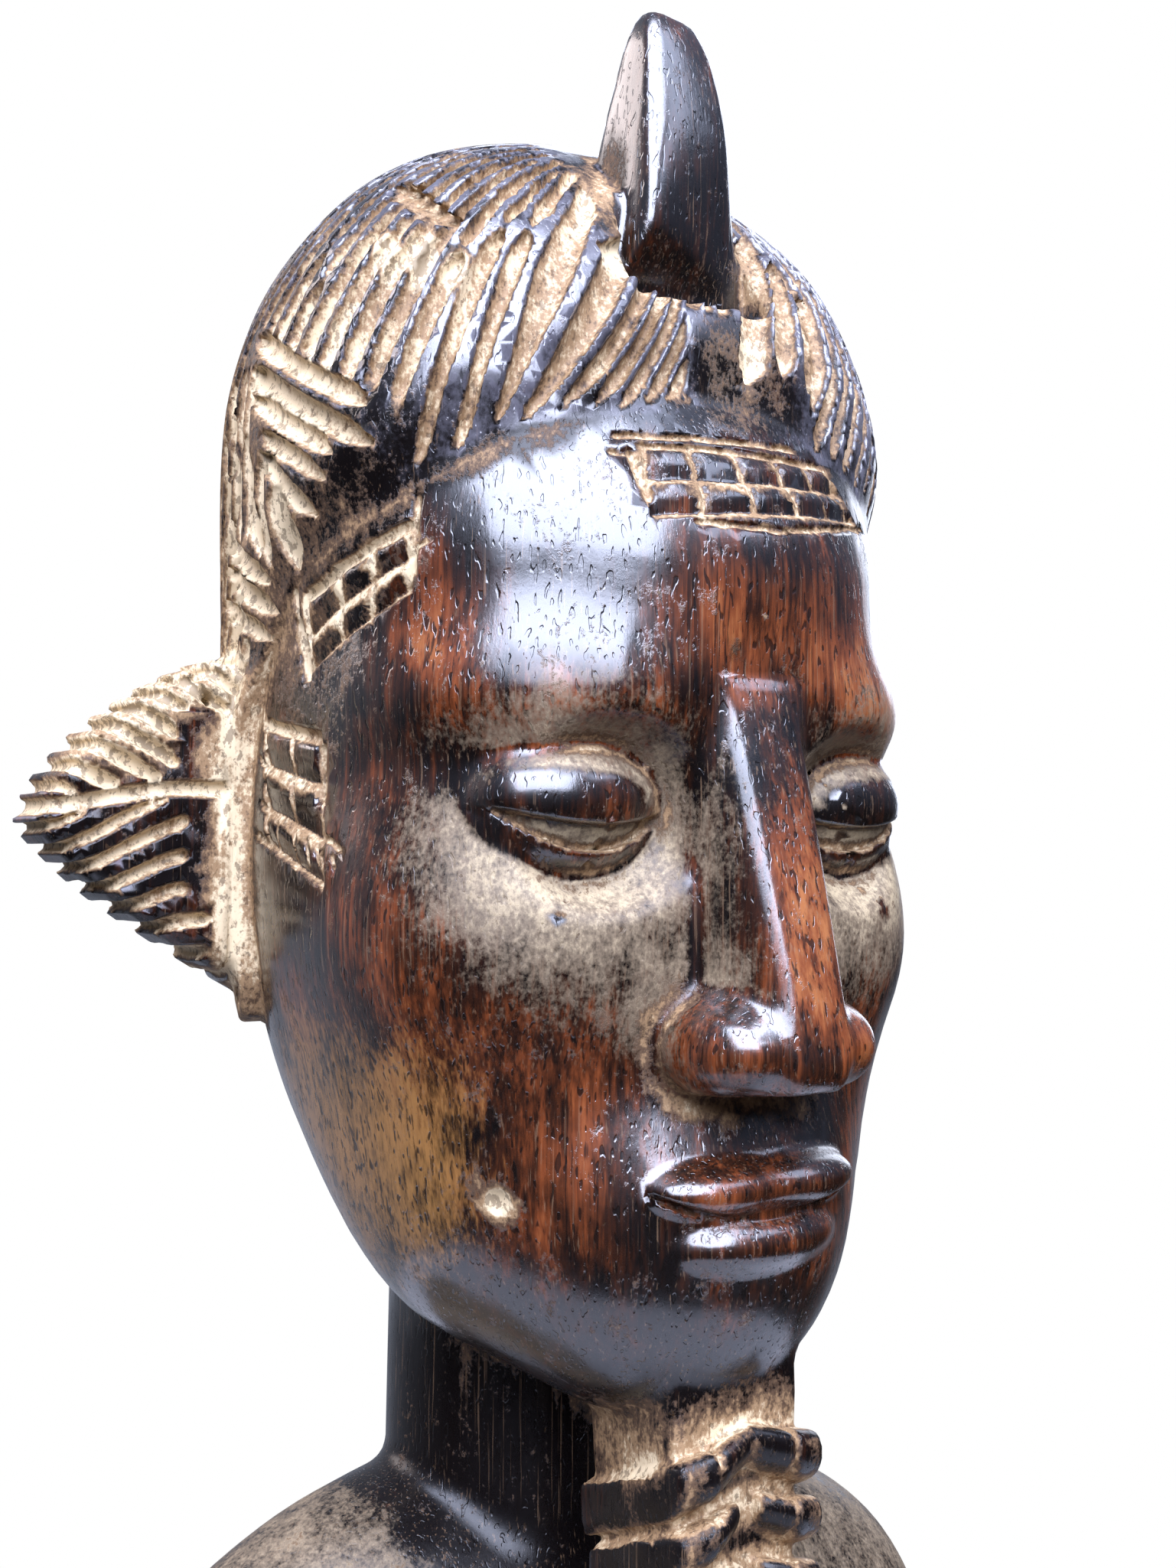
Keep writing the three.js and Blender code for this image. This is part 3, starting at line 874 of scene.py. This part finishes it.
def sampleField():
    values = None
    size = net["block"]
    low = np.array(net["low"], np.float32)
    for level in range(net["halvings"] + 1):
        if level:
            size /= 2
            values = values.repeat(2, 0).repeat(2, 1).repeat(2, 2)
            wanted = np.abs(values) < size * 2.1 + 1.4
        else:
            values = np.zeros(net["cells"], np.float32)
            wanted = np.ones(net["cells"], bool)
        index = np.argwhere(wanted)
        points = (low[:, None] + (index.T + 0.5) * size).astype(np.float32)
        values[wanted] = inParts(bustField, points)
    return np.clip(values, -3, 3), low, size


def meshFromField():
    values, low, size = sampleField()
    grid = openvdb.FloatGrid(background=3.0)
    grid.copyFromArray(values)
    points, _, quads = grid.convertToPolygons(isovalue=0.0, adaptivity=0.0)
    points = low + (points + 0.5) * size
    data = bpy.data.meshes.new("bustNet")
    data.from_pydata(points.tolist(), [], quads.tolist())
    data.update()
    return data


def slopeOf(p, reach=0.12):
    slope = []
    for axis in range(3):
        step = np.zeros((3, 1), np.float32)
        step[axis] = reach
        slope.append((inParts(bustField, p + step) - inParts(bustField, p - step)) / (2 * reach))
    slope = np.stack(slope)
    return slope, np.sqrt((slope ** 2).sum(0)) + 1e-6


def settle(p, rounds=2):  # moves points onto the carved surface
    for _ in range(rounds):
        slope, steep = slopeOf(p)
        value = inParts(bustField, p)
        p = p - np.clip(value / steep, -0.4, 0.4) * slope / steep
    return p.astype(np.float32)


def pointsOf(data):
    co = np.empty(len(data.vertices) * 3, np.float32)
    data.vertices.foreach_get("co", co)
    return co.reshape(-1, 3).T.copy()


def putPoints(data, p):
    data.vertices.foreach_set("co", np.ascontiguousarray(p.T, np.float32).ravel())
    data.update()


def thinned(data):
    holder = show("bustNet", data)
    thin = holder.modifiers.new("thin", "DECIMATE")
    thin.use_collapse_triangulate = True
    thin.ratio = min(1, net["triangles"] / (2 * len(data.polygons)))
    result = bpy.data.meshes.new_from_object(holder.evaluated_get(bpy.context.evaluated_depsgraph_get()))
    bpy.data.objects.remove(holder)
    return result


# Areas of the finish, as ovals that fade out: centre, radii and amount.
brow, nostril, chin, eyeLine = face["brow"], face["noseBase"], face["chinHeight"], face["eyeLine"]
wornAreas = {  # the patina is rubbed away
    "forehead": [(8, -34, brow + 9, 20, 14, 9, 1.0)],
    "brows": pair(19, -27, brow + 1.5, 12, 12, 5, 1.1),
    "nose": [(0, -40, nostril + 14, 5.5, 9, 17, 1.0)],
    "noseWings": pair(7, -36, nostril + 3, 6, 8, 6, 1.0),
    "cheeks": pair(17, -24, nostril - 4, 10, 12, 15, 0.7),
    "mouth": [(0, -33, face["mouthLine"], 12, 8, 6, 0.7)],
    "sides": pair(29, -10, nostril + 8, 8, 16, 22, 0.6),
    "temples": pair(26, -20, brow + 8, 8, 9, 8, 0.6),
}
jawSheenAreas = {  # a painted golden sheen: a warm reflection from below, painted into the wood's colour on the jaw
    "jaw": pair(25, -6, chin + 28, 11, 19, 18, 1.1),
}
filmAreas = {  # thin dust stays
    "sockets": pair(16.5, -26, eyeLine - 3.5, 16.5, 16, 16.5, 1.25),
    "besideWings": pair(8.5, -33, nostril + 8, 7, 12, 9, 1.0),
    "underChin": [(0, -24, chin - 3, 10, 12, 6, 0.7)],
    "besideNose": pair(12, -34, nostril + 14, 10, 12, 8, 0.75),
    "topknotSide": [(-7, -19, 184, 5, 7, 9, 1.1)],
    "underNotch": [(3, -28, 172, 6, 8, 8, 0.7)],
}
cleanAreas = {  # a hollow holds no dust
    "mouth": [(0, -35, face["mouthLine"], 16, 12, 9, 0.7)],
    "topknotFoot": [(0, -20, 178, 12, 12, 16, 1.0)],
    "beforeLobes": pair(29, -3, 128, 7, 8, 30, 0.9),
    "underBeak": [(0, -23, 184, 11, 6, 6, 2.0)],
}
dustyAreas = {  # more dust all over
    "upperLobes": pair(47, 8, 142, 15, 12, 9, 1.2),
    "sideHair": pair(32, 8, 158, 9, 24, 24, 0.6),
    "besideBeard": pair(8.5, -21, 70.5, 2.5, 8, 3.6, 1.1),
    "beardTop": [(0, -21, 74, 12, 16, 2.6, 0.7)],
    "beardMiddle": [(0.8, -29, 52, 1.0, 5, 26, 0.9)],
    "aboveTemples": pair(34.5, 1, 167, 3.5, 4.5, 9, 0.7),
    "topknotSide": [(-8.4, -18.8, 186, 3.0, 5, 9, 0.9)],
    "underNotch": [(4, -28, 172, 6, 6, 7, 0.45)],
    "cheekPit": [(-21.6, -22.7, 94.2, 1.6, 1.6, 1.5, 2.2)],
    "crown": [
        (-28.6, -13.8, 181, 1.3, 1.5, 3, 2.5),
        (-26.8, -16.6, 180.8, 1.5, 1.5, 3.6, 2.5),
        (-24.7, -20.1, 178.2, 1.2, 1.2, 2.4, 2.0),
    ],
}


def amountIn(p, areas):
    total = zeros(p)
    for form in sum(areas.values(), []):
        away = sum(((p[i] - form[i]) / form[i + 3]) ** 2 for i in range(3))
        total = np.maximum(total, form[6] * (1 - ramp(np.sqrt(away), 0.3, 1.5)))
    return total


def refine(data):  # smaller triangles where the scar marks are cut
    shell = bmesh.new()
    shell.from_mesh(data)
    for _ in range(2):
        places = np.array([vertex.co for vertex in shell.verts], np.float32).T
        marked = np.abs(allMarks(places)[0]) > 0.02
        shell.verts.index_update()
        long = [
            edge for edge in shell.edges
            if marked[edge.verts[0].index] and marked[edge.verts[1].index]
            and edge.calc_length() > net["fineEdge"]
        ]
        bmesh.ops.subdivide_edges(shell, edges=long, cuts=1, use_grid_fill=False)
        bmesh.ops.triangulate(shell, faces=[side for side in shell.faces if len(side.verts) > 3])
    shell.to_mesh(data)
    shell.free()


# distances at which a hollow or a ridge of the carving is felt, each with its share
feelers = ((0.8, 0.3), (2.0, 0.3), (5.0, 0.4))


def surfaceValues(p, normal):  # what the finish needs to know of each point
    hollow = zeros(p)
    ridge = zeros(p)
    for reach, share in feelers:
        hollow += share * np.clip(1 - inParts(bustField, p + normal * reach) / reach, 0, 1)
        ridge += share * np.clip(1 + inParts(bustField, p - normal * reach) / reach, 0, 1)
    s = np.abs(p[0])
    onLobe = (near(p, *lobeBox, lobeField) < 1.0) & (s > 34)
    hairy = ramp(p[2], 100, 104) * ramp(-hairField(p) + 1.4, -0.2, 0.6) * ~onLobe
    cut = np.maximum(lockCut(p), templeCut(p)) * (hairy > 0.5) * (hairField(p) > -0.8)
    cut = np.maximum(cut, np.where(onLobe, lobeCut(s, p[2], p), 0))
    # the eyes stay rubbed clean
    polished = zeros(p)
    for side in (-1, 1):
        polished = np.maximum(polished, 1 - ramp(eyeField(p, side), 0.1, 0.6))
    # dust in the cuts, then in the hollows, at the lobes' roots, behind them and along the hair's foot
    dust = np.maximum(ramp(cut, 0.1, 0.6), allMarks(p)[1])
    edge = readTable(hairTable, p[1], p[2])
    hairline = (1 - ramp(np.abs(edge + 0.8), 1.4, 4.6)) * ramp(p[2], 136, 144)
    settled = ramp(hollow, 0.22, 0.6) * (1 - amountIn(p, cleanAreas)) * (1 - hairline * (1 - hairy))
    dust = np.maximum(dust, settled)
    dust = np.maximum(dust * (1 + 0.3 * onLobe), onLobe * ramp(37 - s, -0.5, 0.5) * 1.25)
    block = onLobe & (s > 36) & (s < 40.8) & (p[2] > 131.8) & (p[2] < 139)
    dust = dust + amountIn(p, dustyAreas) * ~block
    behindLobe = hairy * (1 - ramp(p[2], 142, 146)) * ramp(p[1], 0, 4) * (1 - ramp(p[1], 13, 22))
    dust = np.maximum(dust, behindLobe)
    foot = 0.7 * (1 - ramp(np.abs(edge - 0.4), 0.1, 0.8)) * ramp(np.abs(p[0] - 6), 17, 26)
    dust = np.maximum(dust, foot * ramp(p[2], 118, 124) * ~onLobe)
    # thin dust, also on the shoulders away from the neck, but not on edges that hands reach
    film = np.maximum(amountIn(p, filmAreas), 0.25 * hairline * (1 - onLobe))
    away = np.hypot(p[0], p[1] - trunk["neckCentre"])
    film = np.maximum(film, 0.85 * ramp(away, 16.5, 23) * (trunkField(p) < 0.5) * (p[2] < 66))
    film *= 1 - np.maximum(polished * ramp(0.12 - hollow, 0, 0.1), ramp(ridge, 0.1, 0.3))
    # the notch under the topknot stays bare
    under = (notchField(p) < 0.4) & (p[2] > crest["ledge"] + 0.8) & (np.abs(p[0] - 0.5) < 7.9)
    dust, film, hairy = dust * ~under, film * ~under, hairy * ~under
    rubbed = np.maximum(amountIn(p, wornAreas), 2.0 * (allMarks(p)[0] < -0.05))
    return {
        "dust": dust,
        "film": film,
        "polish": (1 - film) * (1 - 0.2 * hairy) * ramp(p[2], 66, 86) * (1 - 0.8 * onLobe),
        "worn": rubbed - 0.45 * (1 - ramp(p[2], 72, 90)),
        # where the painted golden reflection lies on the jaw
        "jawSheen": amountIn(p, jawSheenAreas),
        "ridge": ridge,
        "hair": np.maximum(hairy, 0.5 * onLobe),
    }


def makeBust():
    data = meshFromField()
    print("carved bust: net of", len(data.polygons), "faces")
    putPoints(data, settle(pointsOf(data), 1))
    data = thinned(data)
    print("carved bust: thinned to", len(data.polygons), "faces")
    putPoints(data, settle(pointsOf(data), 1))
    refine(data)
    p = settle(pointsOf(data), 2)
    p[2] = np.maximum(p[2], 0)
    slope, steep = slopeOf(p, 0.2)
    normal = slope / steep
    putPoints(data, p * metresPerMm)
    data.shade_smooth()
    data.normals_split_custom_set_from_vertices(normal.T.tolist())
    for name, values in surfaceValues(p, normal).items():
        attribute = data.attributes.new(name, "FLOAT", "POINT")
        attribute.data.foreach_set("value", np.ascontiguousarray(values, np.float32))
    return show("carvedBust", data)


bust = makeBust()
print("carved bust: mesh of", len(bust.data.polygons), "faces")
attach(bust, "root")
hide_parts("carved_bust")


# materials
def linear(code):  # sRGB hex to linear colour
    channels = [int(code[i:i + 2], 16) / 255 for i in (1, 3, 5)]
    return tuple(c / 12.92 if c <= 0.04045 else ((c + 0.055) / 1.055) ** 2.4 for c in channels) + (1.0,)


def addNode(tree, kind, inputs=None, **settings):  # an input is a value, or another node's output
    node = tree.nodes.new(kind)
    for name, value in settings.items():
        setattr(node, name, value)
    for name, value in (inputs or {}).items():
        if isinstance(value, bpy.types.NodeSocket):
            tree.links.new(value, node.inputs[name])
        else:
            node.inputs[name].default_value = value
    return node.outputs


def newTree(kind, name):
    made = kind.new(name)
    made.use_nodes = True
    made.node_tree.nodes.clear()
    return made, made.node_tree


# Old dense hardwood, rubbed and oiled for years: nearly black where the patina lies, red-brown where
# hands wore it, with upright grain, short open vessels and a soft gloss. Pale dust lies in the cuts.
# A golden reflection on the jaw is painted into the colour.
# A grey-blue sheen on the hair's ridges is painted into the colour.
finish = {
    "patina": "#0d0909",
    "roughness": 0.14,
    "ior": 1.42,
    "coatIor": 1.75,
    "coatRoughness": 0.18,
    "bumpStrength": 0.4,
    "bumpDistance": 0.00014,  # metres
    # noise: width across the grain and length along it in mm, detail and roughness
    "patterns": {
        "patches": (13, 20, 4, 0.55),
        "clouds": (4.5, 8, 4, 0.6),
        "streaks": (0.32, 9, 3, 0.6),
        "threads": (0.9, 26, 2, 0.5),
        "fibres": (0.3, 22, 3, 0.55),
        "darkFibres": (0.42, 14, 3, 0.6),
        "vessels": (0.42, 1.3, 0, 0.5),  # open dashes about a quarter of a millimetre wide
        "specks": (0.5, 0.6, 4, 0.7),
        "pits": (0.75, 1.1, 3, 0.65),
        "crumbs": (1.7, 2.6, 3, 0.6),
    },
    # sums of patterns and of what the mesh stores, each with its weight
    "sums": {
        "wear": {
            "worn": 0.55, "ridge": 0.35, "hair": -0.25,
            "patches": 1.6, "clouds": 1.1, "streaks": 0.7, "threads": 0.8,
        },
        # places the jaw's painted golden reflection, broken up by the wood's patterns
        "jawSheenSum": {"jawSheen": 0.9, "patches": 0.7, "clouds": 0.7, "streaks": 0.9, "threads": 0.6},
        "darkFibre": {"darkFibres": 1.0},
        "fibre": {"fibres": 1.0, "hair": -0.05, "film": 0.04},
        "haze": {"film": 1.0, "specks": 1.3, "clouds": 0.8, "crumbs": 0.8},
        "grime": {"dust": 1.3, "specks": 2.0, "crumbs": 1.4, "clouds": 1.5, "fibres": -0.5},
        "pit": {"pits": 1.0, "dust": 0.1, "film": 0.03},
        "shine": {"polish": 1.0, "clouds": 0.6, "dust": -1.5},
        # places the painted grey-blue sheen on the hair's ridges
        "paintedRidgeSheen": {"hair": 1.0, "ridge": 0.9, "dust": -1.2, "specks": 0.6, "clouds": 1.0},
    },
    # layers from the wood outwards: the sum that places it, start, where it is full, strength, colour
    "layers": {
        "brown": ("wear", 2.05, 2.5, 1.0, "#33190d"),
        "redBrown": ("wear", 2.35, 2.85, 1.0, "#773c1e"),
        "bareWood": ("wear", 2.7, 3.2, 0.85, "#a5673a"),
        # painted golden reflection on the jaw, with now and then a golden patch of wood elsewhere
        "paintedGoldenSheen": ("jawSheenSum", 1.85, 2.5, 0.85, "#a0733f"),
        "darkStreak": ("darkFibre", 0.54, 0.66, 0.75, "#0c0706"),
        "fibre": ("fibre", 0.6, 0.7, 0.4, "#80664e"),
        "vessel": ("vessels", 0.66, 0.74, 0.8, "#0b0706"),
        "thinDust": ("haze", 1.9, 2.5, 0.8, "#7f6e58"),
        "paleFilm": ("haze", 2.35, 3.0, 0.9, "#c4b08c"),
        # painted grey-blue reflection on the hair's ridges
        "paintedRidgeSheen": ("paintedRidgeSheen", 1.6, 2.1, 0.65, "#6d6a72"),
        "tanDust": ("grime", 2.5, 2.95, 0.9, "#5a432f"),
        "dust": ("grime", 2.95, 3.35, 0.95, "#927452"),
        "paleDust": ("grime", 3.4, 4.0, 0.95, "#d8c29c"),
        "pit": ("pit", 0.67, 0.75, 0.6, "#45321f"),
        "coat": ("shine", 0.5, 1.2, 1.0, None),
    },
    "gloss": {"clouds": 0.2, "specks": 0.08, "thinDust": 0.3, "tanDust": 0.4},
    "relief": {"streaks": 0.14, "vessel": -0.9, "tanDust": 0.7, "specks": 0.18, "pit": -0.8},
}


def makeWood():
    material, tree = newTree(bpy.data.materials, "polishedHardwood")
    place = addNode(tree, "ShaderNodeTexCoord")["Object"]
    inputs = {0: place, "Scale": 1 / metresPerMm}
    millimetres = addNode(tree, "ShaderNodeVectorMath", inputs, operation="SCALE")[0]
    values = {}
    for name in ("dust", "film", "worn", "jawSheen", "ridge", "hair", "polish"):
        values[name] = addNode(tree, "ShaderNodeAttribute", attribute_name=name)["Fac"]
    for name, (width, length, detail, roughness) in finish["patterns"].items():
        moved = {"Vector": millimetres, "Location": (len(values) * 3.1,) * 3}
        moved["Scale"] = (1 / width, 1 / width, 1 / length)
        inputs = {"Vector": addNode(tree, "ShaderNodeMapping", moved)[0], "Scale": 1.0}
        inputs |= {"Detail": detail, "Roughness": roughness}
        values[name] = addNode(tree, "ShaderNodeTexNoise", inputs)[0]
    totals = {}
    for name, weights in finish["sums"].items():
        totals[name] = 0.0
        for part, weight in weights.items():
            inputs = {0: values[part], 1: weight, 2: totals[name]}
            totals[name] = addNode(tree, "ShaderNodeMath", inputs, operation="MULTIPLY_ADD")[0]
    colour = linear(finish["patina"])
    totals["vessels"] = values["vessels"]
    for name, (source, start, full, strength, code) in finish["layers"].items():
        inputs = {0: totals[source], 1: start, 2: full, 3: 0.0, 4: strength}
        values[name] = addNode(tree, "ShaderNodeMapRange", inputs, interpolation_type="SMOOTHSTEP")[0]
        if code:
            inputs = {0: values[name], 6: colour, 7: linear(code)}
            colour = addNode(tree, "ShaderNodeMix", inputs, data_type="RGBA")[2]
    roughness, height = finish["roughness"], 0.0
    for part, weight in finish["gloss"].items():
        inputs = {0: values[part], 1: weight, 2: roughness}
        roughness = addNode(tree, "ShaderNodeMath", inputs, operation="MULTIPLY_ADD")[0]
    for part, weight in finish["relief"].items():
        inputs = {0: values[part], 1: weight, 2: height}
        height = addNode(tree, "ShaderNodeMath", inputs, operation="MULTIPLY_ADD")[0]
    inputs = {"Strength": finish["bumpStrength"], "Distance": finish["bumpDistance"], "Height": height}
    bump = addNode(tree, "ShaderNodeBump", inputs)[0]
    inputs = {"Base Color": colour, "Roughness": roughness, "Normal": bump, "IOR": finish["ior"]}
    inputs |= {"Coat Weight": values["coat"], "Coat IOR": finish["coatIor"]}
    inputs |= {"Coat Roughness": finish["coatRoughness"], "Coat Normal": bump}
    shader = addNode(tree, "ShaderNodeBsdfPrincipled", inputs)[0]
    addNode(tree, "ShaderNodeOutputMaterial", {"Surface": shader})
    return material


bust.data.materials.append(makeWood())
print("carved bust: wood finish made")

# floor and light
stage = {
    "floorReach": 0.112,  # metres: a round sheet, small so that the wood doesn't mirror it everywhere
    "floorColour": "#9a9a9c",
    "floorRoughness": 0.9,
    "lowColour": "#2f2a28",
    "highColour": "#8f9cbd",
    "behindColour": "#a9b0c2",
    "roomStrength": 0.8,
    "backdrop": "#ffffff",
    "lightAim": (0, 0, 0.14),  # metres: what every light points at
}
paper, tree = newTree(bpy.data.materials, "mattePaper")
inputs = {"Base Color": linear(stage["floorColour"]), "Roughness": stage["floorRoughness"]}
shader = addNode(tree, "ShaderNodeBsdfPrincipled", inputs)[0]
addNode(tree, "ShaderNodeOutputMaterial", {"Surface": shader})

rimSteps = 96
rim = [
    stage["floorReach"] * np.array((math.cos(turn), math.sin(turn), 0))
    for turn in np.arange(rimSteps) * 2 * math.pi / rimSteps
]
floorMesh = bpy.data.meshes.new("floor")
floorMesh.from_pydata(rim, [], [range(rimSteps)])
floorMesh.materials.append(paper)
floor = show("floor", floorMesh)

world, tree = newTree(bpy.data.worlds, "softRoom")
way = addNode(tree, "ShaderNodeSeparateXYZ", {0: addNode(tree, "ShaderNodeTexCoord")["Generated"]})
share = addNode(tree, "ShaderNodeMapRange", {0: way[2], 1: -0.1, 2: 0.9, 3: 0.0, 4: 1.0})[0]
behind = addNode(tree, "ShaderNodeMapRange", {0: way[1], 1: 0.1, 2: 0.9, 3: 0.0, 4: 1.0})[0]
inputs = {0: share, 6: linear(stage["lowColour"]), 7: linear(stage["highColour"])}
sky = addNode(tree, "ShaderNodeMix", inputs, data_type="RGBA")[2]
inputs = {0: behind, 6: sky, 7: linear(stage["behindColour"])}
sky = addNode(tree, "ShaderNodeMix", inputs, data_type="RGBA")[2]
room = addNode(tree, "ShaderNodeBackground", {"Color": sky, "Strength": stage["roomStrength"]})[0]
white = addNode(tree, "ShaderNodeBackground", {"Color": linear(stage["backdrop"]), "Strength": 1.0})[0]
seen = addNode(tree, "ShaderNodeLightPath")["Is Camera Ray"]
surroundings = addNode(tree, "ShaderNodeMixShader", {0: seen, 1: room, 2: white})[0]
addNode(tree, "ShaderNodeOutputWorld", {"Surface": surroundings})
bpy.context.scene.world = world
bpy.context.scene.view_settings.view_transform = "Standard"

# place in metres, width of the square panel, radiance and colour
lights = {
    "windowLight": ((-0.34, -0.62, 0.92), 1.2, 13.5, "#dbe3ff"),
    "rearLight": ((-0.56, 0.74, 0.72), 0.6, 5.2, "#fff0ee"),
    "rightLight": ((0.46, -0.56, 0.86), 0.5, 4.0, "#d5dfff"),
    "backLight": ((0.65, 0.60, 0.45), 0.8, 2.5, "#e8eeff"),
}
for name, (place, size, radiance, colour) in lights.items():
    data = bpy.data.lights.new(name, "AREA")
    data.size = size
    data.energy = radiance * math.pi * size ** 2
    data.color = linear(colour)[:3]
    light = show(name, data)
    light.location = Vector(place)
    aim = Vector(stage["lightAim"]) - Vector(place)
    light.rotation_euler = aim.to_track_quat("-Z", "Y").to_euler()

print("carved bust: done")
